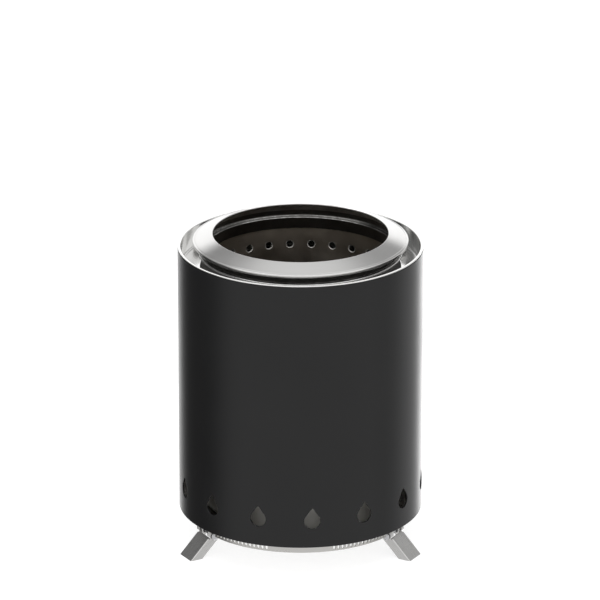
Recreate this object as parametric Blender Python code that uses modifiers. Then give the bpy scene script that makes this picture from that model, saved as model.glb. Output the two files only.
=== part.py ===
"""Tabletop smokeless wood stove: a double-walled steel drum on three folding legs.

Run with: blender --background --python part.py
Metres, +Z up. The stove stands on z = 0 and its front faces -Y. The origin is on the
ground under the middle of the whole stove's box, so the drum's axis is a little in front
of it, because the rear leg reaches further back than the drum does.
"""

import math

import bmesh
import bpy
from mathutils import Matrix, Vector

# Driving dimensions, in metres.
SHEET = 0.0008
GAP = 0.0003
DRUM_RADIUS = 0.0650
DRUM_BOTTOM = 0.0180
RIM_TOP = 0.1643
SHELL_WALL = 0.0008

RIM_SHEET = 0.0005
RIM_EDGE_RADIUS = 0.0649
GROOVE_RADIUS = 0.0634
GROOVE_DEPTH = 0.0113
GROOVE_COLLAR_RADIUS = 0.0527
GROOVE_COLLAR = 0.0030

CHAMBER_RADIUS = 0.0524
CHAMBER_FLANGE_RADIUS = 0.0539
CHAMBER_TOP = 0.1612
CHAMBER_BOTTOM = 0.0215
UPPER_HOLE_HEIGHT = 0.1465
UPPER_HOLE_COUNT = 28
UPPER_HOLE_RADIUS = 0.0020
LOWER_HOLE_HEIGHT = 0.0400
LOWER_HOLE_COUNT = 16
LOWER_HOLE_RADIUS = 0.0026

RING_MOUTH_RADIUS = 0.0464
RING_MOUTH_TOP = 0.1712
RING_EDGE_RADIUS = 0.0570
RING_EDGE_TOP = 0.1674
RING_LIP = 0.0016
RING_COLLAR_RADIUS = 0.0531
RING_SKIRT_RADIUS = 0.0510
RING_BOTTOM = 0.1560

DROP_COUNT = 14
DROP_FIRST_ANGLE = 5.5
DROP_CENTRE = DRUM_BOTTOM + 0.0163
DROP_WIDTH = 0.0087
DROP_HEIGHT = 0.0114

LEDGE_OPENING_RADIUS = 0.0420
LEDGE_STEP_RADIUS = 0.0462
LEDGE_TOP = 0.0487
LEDGE_STEP = 0.0016
LEDGE_SKIRT = 0.0063

GRATE_RADIUS = 0.0458
GRATE_THICKNESS = 0.0012
GRATE_HOLE_RADIUS = 0.0032
GRATE_LIFT_HOLE_RADIUS = 0.0065
GRATE_RINGS = ((6, 0.0135), (12, 0.0255), (18, 0.0375))

TRAY_RADIUS = 0.0405
TRAY_HEIGHT = 0.0100
TRAY_LIP = 0.0008

BASE_PAN_UNDERSIDE = 0.0186
BASE_PAN_FLANGE = 0.0064

BAND_RADIUS = 0.0580
BAND_BOTTOM = 0.0122
BAND_FLANGE_INNER_RADIUS = 0.0430
SLOT_WIDTH = 0.0012
SLOT_BOTTOM = 0.0130
SLOT_HEIGHT = 0.0040
SLOT_PITCH = 2.4
SLOT_FIRST_ANGLE = 18.0
SLOTS_IN_GROUP = 14

LEG_ANGLES = {"leg_front_left": 210.0, "leg_front_right": 330.0, "leg_rear": 90.0}
LEG_SPLAY = 45.0
LEG_WIDTH = 0.0122
LEG_SHEET = 0.0010
LEG_WEB_OUT = 0.0019
LEG_FLANGE_IN = 0.0031
LEG_WEB_START = 0.0024
LEG_EAR_REACH = 0.0038
LEG_EAR_ROUND = 0.0064
PIN_RHO = 0.0564
PIN_HEIGHT = 0.0117
PIN_RADIUS = 0.0010
PIN_HEAD_RADIUS = 0.0020
PIN_HEAD = 0.0008
HOLE_CLEARANCE = 0.00033

BRACKET_WIDTH = 0.0096
BRACKET_SHEET = 0.0010
BRACKET_LUG = 0.0011
BRACKET_LUG_PLACE = 0.00415
BRACKET_LUG_RADIUS = 0.0022
BRACKET_INNER = -0.0075
BRACKET_OUTER = 0.0046
NOTCH_WIDTH = 0.0170
RIVET_PLACES = {"inner": -0.0050, "outer": 0.0004}
RIVET_RADIUS = 0.0010
RIVET_HEAD_RADIUS = 0.0019
RIVET_HEAD = 0.0007

# What follows from them.
GROOVE_FLOOR = RIM_TOP - GROOVE_DEPTH
PAN_TOP = BASE_PAN_UNDERSIDE + SHEET
CHAMBER_FLOOR = CHAMBER_BOTTOM + SHEET
LEG_COS = math.cos(math.radians(LEG_SPLAY))
FOOT_REACH = PIN_RHO + PIN_HEIGHT + LEG_WEB_OUT / LEG_COS
AXIS_Y = -(FOOT_REACH - DRUM_RADIUS) / 2

# Segments round each turned part.
LARGE = 56
MEDIUM = 48
SMALL = 12
HOLE = 8

for old in list(bpy.data.objects):
    bpy.data.objects.remove(old)

parts = bpy.data.collections.new("tabletop_stove")
cutters = bpy.data.collections.new("cutters")
bpy.context.scene.collection.children.link(parts)
bpy.context.scene.collection.children.link(cutters)

axis = bpy.data.objects.new("stove_axis", None)
axis.location = (0, AXIS_Y, 0)
parts.objects.link(axis)


def steel(name, colour, roughness, metallic=1.0):
    material = bpy.data.materials.new(name)
    material.use_nodes = True
    shader = material.node_tree.nodes["Principled BSDF"]
    shader.inputs["Base Color"].default_value = (*colour, 1)
    shader.inputs["Roughness"].default_value = roughness
    shader.inputs["Metallic"].default_value = metallic
    material.diffuse_color = (*colour, 1)
    return material


BLACK_COAT = steel("black_coat", (0.022, 0.022, 0.022), 0.38, 0.0)
POLISHED = steel("polished_stainless", (0.72, 0.71, 0.70), 0.16)
BRUSHED = steel("brushed_stainless", (0.55, 0.54, 0.52), 0.32)
PLAIN = steel("plain_stainless", (0.36, 0.34, 0.31), 0.42)
ZINC = steel("zinc_plated_steel", (0.50, 0.50, 0.50), 0.30)


def link(name, mesh, material, parent=axis):
    obj = bpy.data.objects.new(name, mesh)
    mesh.materials.append(material)
    obj.parent = parent
    parts.objects.link(obj)
    return obj


def turned_mesh(name, profile, segments, closed=True):
    """A profile of (radius, height) points, down the outer side first, turned round +Z."""
    mesh = bpy.data.meshes.new(name)
    edges = [(i, i + 1) for i in range(len(profile) - 1)]
    if closed:
        edges.append((len(profile) - 1, 0))
    mesh.from_pydata([(r, 0, z) for r, z in profile], edges, [])
    guide = bpy.data.objects.new(name + "_profile", mesh)
    bpy.context.scene.collection.objects.link(guide)
    screw = guide.modifiers.new("turn", "SCREW")
    screw.axis = "Z"
    screw.steps = segments
    screw.render_steps = segments
    screw.use_merge_vertices = True
    screw.merge_threshold = 0.00001
    solid = evaluated_mesh(guide)
    bpy.data.objects.remove(guide)
    return solid


def evaluated_mesh(obj):
    """The object's mesh with its modifiers applied."""
    bpy.context.view_layer.update()
    graph = bpy.context.evaluated_depsgraph_get()
    return bpy.data.meshes.new_from_object(obj.evaluated_get(graph))


def outline_mesh(name, points, width):
    """A flat outline of (x, z) points, made a plate that is width thick along Y."""
    curve = bpy.data.curves.new(name, "CURVE")
    curve.dimensions = "2D"
    curve.fill_mode = "BOTH"
    curve.extrude = width / 2
    spline = curve.splines.new("POLY")
    spline.points.add(len(points) - 1)
    for point, (x, z) in zip(spline.points, points):
        point.co = (x, z, 0, 1)
    spline.use_cyclic_u = True
    guide = bpy.data.objects.new(name + "_outline", curve)
    bpy.context.scene.collection.objects.link(guide)
    mesh = evaluated_mesh(guide)
    bpy.data.objects.remove(guide)
    mesh.transform(Matrix.Rotation(math.radians(90), 4, "X"))
    welded = bmesh.new()
    welded.from_mesh(mesh)
    bmesh.ops.remove_doubles(welded, verts=welded.verts, dist=0.000001)
    bmesh.ops.recalc_face_normals(welded, faces=welded.faces)
    welded.to_mesh(mesh)
    welded.free()
    return mesh


def arc(radius, start, end, steps, centre=(0, 0)):
    """Points along an arc, with its angles in degrees."""
    turns = [math.radians(start + (end - start) * i / steps) for i in range(steps + 1)]
    return [(centre[0] + radius * math.cos(a), centre[1] + radius * math.sin(a)) for a in turns]


def add_rod(tool, radius, length, place, segments=SMALL):
    """Adds a cylinder along the matrix's Z to the bmesh."""
    bmesh.ops.create_cone(
        tool,
        cap_ends=True,
        segments=segments,
        radius1=radius,
        radius2=radius,
        depth=length,
        matrix=place,
    )


def add_block(tool, size, place):
    bmesh.ops.create_cube(tool, size=1, matrix=place @ Matrix.Diagonal((*size, 1)))


def add_copy(tool, mesh, place):
    copy = mesh.copy()
    copy.transform(place)
    tool.from_mesh(copy)
    bpy.data.meshes.remove(copy)


def cut(obj, tool):
    """Cuts the bmesh's shapes, given in the object's own space, out of the object."""
    mesh = bpy.data.meshes.new(obj.name + "_cutter")
    tool.to_mesh(mesh)
    tool.free()
    cutter = bpy.data.objects.new(obj.name + "_cutter", mesh)
    cutter.parent = obj.parent
    cutter.location = obj.location
    cutter.rotation_euler = obj.rotation_euler
    cutter.hide_render = True
    cutter.display_type = "WIRE"
    cutters.objects.link(cutter)
    boolean = obj.modifiers.new("cut", "BOOLEAN")
    boolean.operation = "DIFFERENCE"
    boolean.solver = "EXACT"
    boolean.object = cutter


def turn(degrees):
    return Matrix.Rotation(math.radians(degrees), 4, "Z")


def radial(degrees, radius, height):
    """A frame whose Z points outwards from the drum's axis at this angle."""
    sideways = Matrix.Rotation(math.radians(90), 4, "Y")
    return turn(degrees) @ Matrix.Translation((radius, 0, height)) @ sideways


def drop_outline():
    """A teardrop standing on its round end: a circle and the two tangents to its tip."""
    radius = DROP_WIDTH / 2
    centre = radius - DROP_HEIGHT / 2
    tip = DROP_HEIGHT / 2
    tangent = 90 - math.degrees(math.acos(radius / (tip - centre)))
    return [(0, tip)] + arc(radius, 180 - tangent, 360 + tangent, 12, (0, centre))


def make_outer_shell():
    top = RIM_TOP - RIM_SHEET - GAP
    inside = DRUM_RADIUS - SHELL_WALL
    profile = [(DRUM_RADIUS, top), (DRUM_RADIUS, DRUM_BOTTOM), (inside, DRUM_BOTTOM), (inside, top)]
    shell = link("outer_shell", turned_mesh("outer_shell", profile, LARGE), BLACK_COAT)
    drop = outline_mesh("drop", drop_outline(), 0.006)
    tool = bmesh.new()
    for i in range(DROP_COUNT):
        angle = -90 + DROP_FIRST_ANGLE + i * 360 / DROP_COUNT
        outwards = Matrix.Translation((DRUM_RADIUS, 0, DROP_CENTRE)) @ turn(90)
        add_copy(tool, drop, turn(angle) @ outwards)
    cut(shell, tool)


def make_rim_channel():
    """A thin rim over the shell's edge, the groove inside it and the collar round the chamber."""
    outside = GROOVE_RADIUS + RIM_SHEET
    collar = GROOVE_COLLAR_RADIUS + RIM_SHEET
    profile = [
        (RIM_EDGE_RADIUS, RIM_TOP),
        (RIM_EDGE_RADIUS, RIM_TOP - RIM_SHEET),
        (outside, RIM_TOP - RIM_SHEET),
        (outside, GROOVE_FLOOR - RIM_SHEET),
        (collar, GROOVE_FLOOR - RIM_SHEET),
        (collar, GROOVE_FLOOR - GROOVE_COLLAR),
        (GROOVE_COLLAR_RADIUS, GROOVE_FLOOR - GROOVE_COLLAR),
        (GROOVE_COLLAR_RADIUS, GROOVE_FLOOR),
        (GROOVE_RADIUS, GROOVE_FLOOR),
        (GROOVE_RADIUS, RIM_TOP),
    ]
    link("rim_channel", turned_mesh("rim_channel", profile, LARGE), POLISHED)


def make_burn_chamber():
    inside = CHAMBER_RADIUS - SHEET
    profile = [
        (CHAMBER_FLANGE_RADIUS, CHAMBER_TOP),
        (CHAMBER_FLANGE_RADIUS, CHAMBER_TOP - SHEET),
        (CHAMBER_RADIUS, CHAMBER_TOP - SHEET),
        (CHAMBER_RADIUS, CHAMBER_BOTTOM),
        (0, CHAMBER_BOTTOM),
        (0, CHAMBER_FLOOR),
        (inside, CHAMBER_FLOOR),
        (inside, CHAMBER_TOP),
    ]
    profile = profile[5:] + profile[:5]
    mesh = turned_mesh("burn_chamber", profile, MEDIUM, closed=False)
    chamber = link("burn_chamber", mesh, PLAIN)
    tool = bmesh.new()
    rows = (
        (UPPER_HOLE_COUNT, UPPER_HOLE_RADIUS, UPPER_HOLE_HEIGHT),
        (LOWER_HOLE_COUNT, LOWER_HOLE_RADIUS, LOWER_HOLE_HEIGHT),
    )
    for count, radius, height in rows:
        for i in range(count):
            place = radial((i + 0.5) * 360 / count, CHAMBER_RADIUS, height)
            add_rod(tool, radius, 0.004, place, HOLE)
    cut(chamber, tool)


def make_grate_support():
    wall = CHAMBER_RADIUS - SHEET - GAP
    step = LEDGE_TOP + LEDGE_STEP
    profile = [
        (wall, step),
        (wall, step - LEDGE_SKIRT),
        (wall - SHEET, step - LEDGE_SKIRT),
        (wall - SHEET, step - SHEET),
        (LEDGE_STEP_RADIUS + SHEET, step - SHEET),
        (LEDGE_STEP_RADIUS + SHEET, LEDGE_TOP - SHEET),
        (LEDGE_OPENING_RADIUS, LEDGE_TOP - SHEET),
        (LEDGE_OPENING_RADIUS, LEDGE_TOP),
        (LEDGE_STEP_RADIUS, LEDGE_TOP),
        (LEDGE_STEP_RADIUS, step),
    ]
    link("grate_support", turned_mesh("grate_support", profile, MEDIUM), PLAIN)


def make_flame_ring():
    """A cone with a lip; below it a collar that rests on the chamber, and a skirt inside it."""
    slope = (RING_MOUTH_TOP - RING_EDGE_TOP) / (RING_EDGE_RADIUS - RING_MOUTH_RADIUS)
    depth = SHEET * math.hypot(1, slope)

    def under(radius):
        return (radius, RING_EDGE_TOP + slope * (RING_EDGE_RADIUS - radius) - depth)

    collar_bottom = CHAMBER_TOP + GAP
    profile = [
        (RING_MOUTH_RADIUS, RING_MOUTH_TOP),
        (RING_EDGE_RADIUS, RING_EDGE_TOP),
        (RING_EDGE_RADIUS, RING_EDGE_TOP - RING_LIP),
        (RING_EDGE_RADIUS - SHEET, RING_EDGE_TOP - RING_LIP),
        under(RING_EDGE_RADIUS - SHEET),
        under(RING_COLLAR_RADIUS),
        (RING_COLLAR_RADIUS, collar_bottom),
        (RING_SKIRT_RADIUS, collar_bottom),
        (RING_SKIRT_RADIUS, RING_BOTTOM),
        (RING_SKIRT_RADIUS - SHEET, RING_BOTTOM),
        (RING_SKIRT_RADIUS - SHEET, collar_bottom + SHEET),
        (RING_COLLAR_RADIUS - SHEET, collar_bottom + SHEET),
        under(RING_COLLAR_RADIUS - SHEET),
        under(RING_MOUTH_RADIUS),
    ]
    link("flame_ring", turned_mesh("flame_ring", profile, LARGE), POLISHED)


def make_fire_grate():
    under = LEDGE_TOP + GAP
    tool = bmesh.new()
    centre = Matrix.Translation((0, 0, under + GRATE_THICKNESS / 2))
    add_rod(tool, GRATE_RADIUS, GRATE_THICKNESS, centre, MEDIUM)
    mesh = bpy.data.meshes.new("fire_grate")
    tool.to_mesh(mesh)
    tool.free()
    grate = link("fire_grate", mesh, PLAIN)
    tool = bmesh.new()
    add_rod(tool, GRATE_LIFT_HOLE_RADIUS, 0.006, centre, SMALL)
    for count, radius in GRATE_RINGS:
        for i in range(count):
            place = turn(i * 360 / count) @ Matrix.Translation((radius, 0, 0)) @ centre
            add_rod(tool, GRATE_HOLE_RADIUS, 0.006, place, HOLE)
    cut(grate, tool)


def make_ash_tray():
    under = CHAMBER_FLOOR + GAP
    top = under + TRAY_HEIGHT
    profile = [
        (0, under + SHEET),
        (TRAY_RADIUS - SHEET, under + SHEET),
        (TRAY_RADIUS - SHEET, top),
        (TRAY_RADIUS + TRAY_LIP, top),
        (TRAY_RADIUS + TRAY_LIP, top - SHEET),
        (TRAY_RADIUS, top - SHEET),
        (TRAY_RADIUS, under),
        (0, under),
    ]
    link("ash_tray", turned_mesh("ash_tray", profile, MEDIUM, closed=False), PLAIN)


def make_base_pan():
    edge = DRUM_RADIUS - SHELL_WALL - GAP
    profile = [
        (0, PAN_TOP),
        (edge - SHEET, PAN_TOP),
        (edge - SHEET, BASE_PAN_UNDERSIDE + BASE_PAN_FLANGE),
        (edge, BASE_PAN_UNDERSIDE + BASE_PAN_FLANGE),
        (edge, BASE_PAN_UNDERSIDE),
        (0, BASE_PAN_UNDERSIDE),
    ]
    pan = link("base_pan", turned_mesh("base_pan", profile, LARGE, closed=False), BRUSHED)
    tool = bmesh.new()
    for angle in LEG_ANGLES.values():
        for offset in RIVET_PLACES.values():
            at = Matrix.Translation((PIN_RHO + offset, 0, BASE_PAN_UNDERSIDE))
            add_rod(tool, RIVET_RADIUS + HOLE_CLEARANCE, 0.006, turn(angle) @ at)
    cut(pan, tool)


def make_base_band():
    top = BASE_PAN_UNDERSIDE - GAP
    profile = [
        (BAND_RADIUS, top),
        (BAND_RADIUS, BAND_BOTTOM),
        (BAND_RADIUS - SHEET, BAND_BOTTOM),
        (BAND_RADIUS - SHEET, top - SHEET),
        (BAND_FLANGE_INNER_RADIUS, top - SHEET),
        (BAND_FLANGE_INNER_RADIUS, top),
    ]
    band = link("base_band", turned_mesh("base_band", profile, LARGE), POLISHED)
    tool = bmesh.new()
    notch_start = PIN_RHO + BRACKET_INNER - 0.0005
    for angle in LEG_ANGLES.values():
        notch = Matrix.Translation((notch_start + 0.010, 0, BAND_BOTTOM))
        add_block(tool, (0.020, NOTCH_WIDTH, 0.020), turn(angle) @ notch)
        for side in (-1, 1):
            for i in range(SLOTS_IN_GROUP):
                # The plain panels are opposite the legs, and each is flanked by two groups.
                slot_angle = angle + 180 + side * (SLOT_FIRST_ANGLE + i * SLOT_PITCH)
                height = SLOT_BOTTOM + SLOT_HEIGHT / 2
                place = turn(slot_angle) @ Matrix.Translation((BAND_RADIUS, 0, height))
                add_block(tool, (0.003, SLOT_WIDTH, SLOT_HEIGHT), place)
    cut(band, tool)


def leg_outline():
    """The side of a leg seen along its pin, which is at the origin; +x points outwards."""
    foot = -PIN_HEIGHT
    outer_line = LEG_WEB_OUT / LEG_COS
    inner_line = -LEG_FLANGE_IN / LEG_COS
    ear_top = BASE_PAN_UNDERSIDE - GAP - PIN_HEIGHT
    meets = 45 + math.degrees(math.acos(-LEG_FLANGE_IN / LEG_EAR_ROUND))
    rounded = arc(LEG_EAR_ROUND, meets, 90, 6)
    return [
        (outer_line - foot, foot),
        (inner_line - foot, foot),
        *rounded,
        (0.0004, ear_top),
        (LEG_EAR_REACH, ear_top),
        (LEG_EAR_REACH, outer_line - LEG_EAR_REACH),
    ]


def make_leg(name, hinge):
    mesh = outline_mesh(name, leg_outline(), LEG_WIDTH)
    leg = link(name, mesh, BRUSHED, hinge)
    inner_width = LEG_WIDTH - 2 * LEG_SHEET
    along_leg = Matrix.Rotation(math.radians(LEG_SPLAY), 4, "Y")
    tool = bmesh.new()
    # Clears the channel under the web, in a frame whose x runs down the leg and z out of its web.
    web_inside = LEG_WEB_OUT - LEG_SHEET
    hollow = Matrix.Translation((0.010, 0, web_inside - 0.010))
    add_block(tool, (0.040, inner_width, 0.020), along_leg @ hollow)
    above_web = Matrix.Translation((LEG_WEB_START - 0.010, 0, 0.004))
    add_block(tool, (0.020, inner_width, 0.030), along_leg @ above_web)
    for side in (-1, 1):
        corner = Matrix.Translation((LEG_WEB_START, side * inner_width / 2, LEG_WEB_OUT))
        add_block(tool, (0.0016, 0.0011, 0.0024), along_leg @ corner)
    across = Matrix.Rotation(math.radians(90), 4, "X")
    add_rod(tool, PIN_RADIUS + HOLE_CLEARANCE, 0.020, across)
    merge_overlapping(tool)
    cut(leg, tool)


def merge_overlapping(tool):
    """Joins a bmesh's overlapping closed shapes into one, so that it makes a clean cutter."""
    pieces = bpy.data.meshes.new("pieces")
    tool.to_mesh(pieces)
    guide = bpy.data.objects.new("pieces", pieces)
    bpy.context.scene.collection.objects.link(guide)
    empty = bpy.data.objects.new("nothing", bpy.data.meshes.new("nothing"))
    bpy.context.scene.collection.objects.link(empty)
    union = guide.modifiers.new("join", "BOOLEAN")
    union.operation = "UNION"
    union.solver = "EXACT"
    union.use_self = True
    union.object = empty
    joined = evaluated_mesh(guide)
    bpy.data.objects.remove(guide)
    bpy.data.objects.remove(empty)
    tool.clear()
    tool.from_mesh(joined)


def make_bracket(name, hinge):
    """A plate under the base pan, folded down into two lugs that carry the pin."""
    top = BASE_PAN_UNDERSIDE - GAP - PIN_HEIGHT
    lug = BRACKET_LUG_RADIUS
    outline = [(-lug, top - BRACKET_SHEET / 2), *arc(lug, 180, 360, 8), (lug, top - BRACKET_SHEET / 2)]
    lug_mesh = outline_mesh("lug", outline, BRACKET_LUG)
    tool = bmesh.new()
    length = BRACKET_OUTER - BRACKET_INNER
    middle = Matrix.Translation(((BRACKET_OUTER + BRACKET_INNER) / 2, 0, top - BRACKET_SHEET / 2))
    add_block(tool, (length, BRACKET_WIDTH, BRACKET_SHEET), middle)
    for side in (-1, 1):
        add_copy(tool, lug_mesh, Matrix.Translation((0, side * BRACKET_LUG_PLACE, 0)))
    merge_overlapping(tool)
    mesh = bpy.data.meshes.new(name)
    tool.to_mesh(mesh)
    tool.free()
    bracket = link(name, mesh, BRUSHED, hinge)
    tool = bmesh.new()
    across = Matrix.Rotation(math.radians(90), 4, "X")
    add_rod(tool, PIN_RADIUS + HOLE_CLEARANCE, 0.020, across)
    for offset in RIVET_PLACES.values():
        place = Matrix.Translation((offset, 0, top))
        add_rod(tool, RIVET_RADIUS + HOLE_CLEARANCE, 0.006, place)
    cut(bracket, tool)


def headed_rod(name, radius, head_radius, head, low, high):
    """A rod from low to high along Z with a chamfered head at each end, outside those heights."""
    chamfer = head * 0.45
    profile = [
        (0, high + head),
        (head_radius - chamfer, high + head),
        (head_radius, high + head - chamfer),
        (head_radius, high),
        (radius, high),
        (radius, low),
        (head_radius, low),
        (head_radius, low - head + chamfer),
        (head_radius - chamfer, low - head),
        (0, low - head),
    ]
    return turned_mesh(name, profile, SMALL, closed=False)


def make_pin(name, hinge):
    half = LEG_WIDTH / 2 + GAP
    mesh = headed_rod(name, PIN_RADIUS, PIN_HEAD_RADIUS, PIN_HEAD, -half, half)
    mesh.transform(Matrix.Rotation(math.radians(90), 4, "X"))
    link(name, mesh, ZINC, hinge)


def make_rivet(name, hinge, offset):
    low = BASE_PAN_UNDERSIDE - GAP - BRACKET_SHEET - GAP - PIN_HEIGHT
    high = PAN_TOP + GAP - PIN_HEIGHT
    mesh = headed_rod(name, RIVET_RADIUS, RIVET_HEAD_RADIUS, RIVET_HEAD, low, high)
    link(name, mesh, ZINC, hinge).location = (offset, 0, 0)


def make_leg_set(name, angle):
    """One leg with its bracket, pin and rivets, placed by an empty on the pin's axis."""
    side = name.removeprefix("leg_")
    hinge = bpy.data.objects.new(name + "_hinge", None)
    hinge.parent = axis
    hinge.location = turn(angle) @ Vector((PIN_RHO, 0, PIN_HEIGHT))
    hinge.rotation_euler = (0, 0, math.radians(angle))
    parts.objects.link(hinge)
    make_bracket("leg_bracket_" + side, hinge)
    make_pin("leg_pin_" + side, hinge)
    make_leg(name, hinge)
    for place, offset in RIVET_PLACES.items():
        make_rivet(f"rivet_{side}_{place}", hinge, offset)


make_outer_shell()
make_rim_channel()
make_burn_chamber()
make_grate_support()
make_flame_ring()
make_fire_grate()
make_ash_tray()
make_base_pan()
make_base_band()
for leg_name, leg_angle in LEG_ANGLES.items():
    make_leg_set(leg_name, leg_angle)

# The cuts are applied, so that the round parts can be shaded smooth.
for part in [obj for obj in parts.objects if obj.type == "MESH"]:
    whole = evaluated_mesh(part)
    part.modifiers.clear()
    part.data = whole
    whole.shade_smooth()
    whole.set_sharp_from_angle(angle=math.radians(30))
for cutter in list(cutters.objects):
    bpy.data.objects.remove(cutter)
bpy.data.collections.remove(cutters)
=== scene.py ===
import math

import bmesh
import bpy
from mathutils import Matrix, Vector
from mathutils.geometry import tessellate_polygon


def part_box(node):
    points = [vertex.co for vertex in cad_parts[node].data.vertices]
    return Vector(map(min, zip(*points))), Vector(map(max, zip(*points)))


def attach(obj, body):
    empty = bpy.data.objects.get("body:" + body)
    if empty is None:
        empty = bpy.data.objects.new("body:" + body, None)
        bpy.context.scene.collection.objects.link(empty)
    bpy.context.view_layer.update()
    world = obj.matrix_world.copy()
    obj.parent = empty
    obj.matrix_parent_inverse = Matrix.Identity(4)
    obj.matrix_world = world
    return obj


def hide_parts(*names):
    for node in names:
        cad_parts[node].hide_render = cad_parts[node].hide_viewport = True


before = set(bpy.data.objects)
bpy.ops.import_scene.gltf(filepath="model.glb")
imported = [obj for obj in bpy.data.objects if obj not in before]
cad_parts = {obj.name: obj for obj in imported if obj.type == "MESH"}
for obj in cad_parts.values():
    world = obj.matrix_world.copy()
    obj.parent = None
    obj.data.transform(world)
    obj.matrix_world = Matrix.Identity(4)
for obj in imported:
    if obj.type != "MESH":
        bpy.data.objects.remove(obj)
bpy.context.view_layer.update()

# ---------------------------------------------------------------------------------------
# The outer shell is one sheet of 0.8 mm steel, rolled and seam-welded into a drum, with a
# row of teardrop air holes punched near its bottom edge. The outside and the cut edges
# carry a satin black heat-resistant coating; the inside is left as bare steel.

shell_low, shell_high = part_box("outer_shell")
axis_place = Vector(((shell_low.x + shell_high.x) / 2, (shell_low.y + shell_high.y) / 2, 0))
drum_radius = (shell_high.x - shell_low.x) / 2
shell_bottom = shell_low.z
shell_sheet = 0.0008
inside_drum = (0, 0, 0.09)
front = -90
drop_count = 14
drop_offset = 5.5
drop_turn = math.radians(front + drop_offset)
drop_centre = shell_bottom + 0.01495
drop_round = 0.00435
drop_tip_round = 0.0006
drop_tip_height = 0.00645
drop_patch_start = 0.0040
drop_patch_low = drop_centre - 0.0075
drop_patch_high = drop_centre + 0.0105
drop_patch_lines = 12
drop_patch_half = 6
lines_above_drops = 16
columns_to_a_drop = 24
shell_columns = drop_count * columns_to_a_drop
steps_to_hole = (0.4, 0.75, 1.0)
longest_bend = 0.49
small_corner = 0.0010
eased_angle = math.radians(50)
sharp_angle = math.radians(40)


def new_mesh():
    """An empty mesh whose faces can be marked as eased edges, where the wear shows."""
    bm = bmesh.new()
    bm.faces.layers.float.new("edge")
    return bm


def ring(bm, radius, height, columns, first=0.0):
    """A closed row of vertices round the axis, or one vertex where the radius is nothing."""
    if radius < 1e-7:
        return [bm.verts.new((0, 0, height))]
    turns = [first + 2 * math.pi * i / columns for i in range(columns)]
    return [bm.verts.new((radius * math.cos(a), radius * math.sin(a), height)) for a in turns]


def skin(bm, a, b, edge=0.0, absent=()):
    """Faces between two rows of vertices, either of which may be a single one."""
    layer = bm.faces.layers.float["edge"]
    count = max(len(a), len(b))
    for i in range(count):
        if i in absent:
            continue
        j = (i + 1) % count
        if len(a) == 1:
            corners = [a[0], b[i], b[j]]
        elif len(b) == 1:
            corners = [a[i], b[0], a[j]]
        else:
            corners = [a[i], b[i], b[j], a[j]]
        bm.faces.new(corners)[layer] = edge


def follow(bm, start, path, first=0.0, absent=()):
    """Carries a surface on from a row of vertices along (radius, height, edge) points."""
    last = start
    for radius, height, edge in path:
        row = ring(bm, radius, height, len(start), first)
        skin(bm, last, row, edge, absent)
        last = row
    return last


def rounded(outline, steps=5, closed=True):
    """Rounds an outline of (radius, height, corner radius) points. Gives (radius, height,
    edge) points, where edge is one on the small corners, which the wear follows."""
    path = []
    count = len(outline)
    for i, (x, z, radius) in enumerate(outline):
        if radius == 0 or (not closed and i in (0, count - 1)):
            path.append((x, z, 0.0))
            continue
        here = Vector((x, z))
        back = Vector(outline[i - 1][:2]) - here
        on = Vector(outline[(i + 1) % count][:2]) - here
        half = back.angle(on) / 2
        reach = min(radius / math.tan(half), longest_bend * back.length, longest_bend * on.length)
        bend = reach * math.tan(half)
        middle = here + (back.normalized() + on.normalized()).normalized() * bend / math.sin(half)
        start = here + back.normalized() * reach - middle
        finish = here + on.normalized() * reach - middle
        swing = start.angle_signed(finish)
        for k in range(steps + 1):
            spoke = start.copy()
            spoke.rotate(Matrix.Rotation(-swing * k / steps, 2))
            edge = 1.0 if k > 0 and radius < small_corner else 0.0
            path.append((middle.x + spoke.x, middle.y + spoke.y, edge))
    return path


def wall(bm, radius, heights, columns, first, holes, absent=()):
    """An upright round wall with holes. A hole is (its middle column, half its patch in
    columns, its patch's lowest and highest line, its centre's height, the reach of its edge
    in a direction). Gives the wall's lowest and highest rows."""
    step = 2 * math.pi / columns
    patched = set()
    for middle, half, low, high, centre, reach in holes:
        for column in range(middle - half, middle + half):
            patched.update((column % columns, line) for line in range(low, high))
    rows = [ring(bm, radius, height, columns, first) for height in heights]
    for line in range(len(heights) - 1):
        gaps = {column for column, at in patched if at == line}
        skin(bm, rows[line], rows[line + 1], 0.0, gaps.union(absent))
    for middle, half, low, high, centre, reach in holes:
        around = [(column, low) for column in range(middle - half, middle + half)]
        around += [(middle + half, line) for line in range(low, high)]
        around += [(column, high) for column in range(middle + half, middle - half, -1)]
        around += [(middle - half, line) for line in range(high, low, -1)]
        spots = [((column - middle) * step * radius, heights[line] - centre)
                 for column, line in around]
        last = [rows[line][column % columns] for column, line in around]
        for share in steps_to_hole:
            loop = []
            for u, z in spots:
                turn = math.atan2(z, u)
                along = u * (1 - share) + reach(turn) * math.cos(turn) * share
                up = z * (1 - share) + reach(turn) * math.sin(turn) * share
                where = first + step * middle + along / radius
                spot = (radius * math.cos(where), radius * math.sin(where), centre + up)
                loop.append(bm.verts.new(spot))
            skin(bm, last, loop)
            last = loop
    return rows[0], rows[-1]


def drop_reach(turn):
    """How far a teardrop's edge is from the middle of its round end, in a direction."""
    up = math.atan2(math.sin(turn), abs(math.cos(turn)))
    lean = math.asin((drop_round - drop_tip_round) / drop_tip_height)
    foot_across = drop_tip_round * math.cos(lean)
    foot_up = drop_tip_height + drop_tip_round * math.sin(lean)
    if up <= lean:
        return drop_round
    if up <= math.atan2(foot_up, foot_across):
        return drop_round / math.cos(up - lean)
    aside = drop_tip_height * math.cos(up)
    return drop_tip_height * math.sin(up) + math.sqrt(max(drop_tip_round**2 - aside**2, 0))


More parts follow.
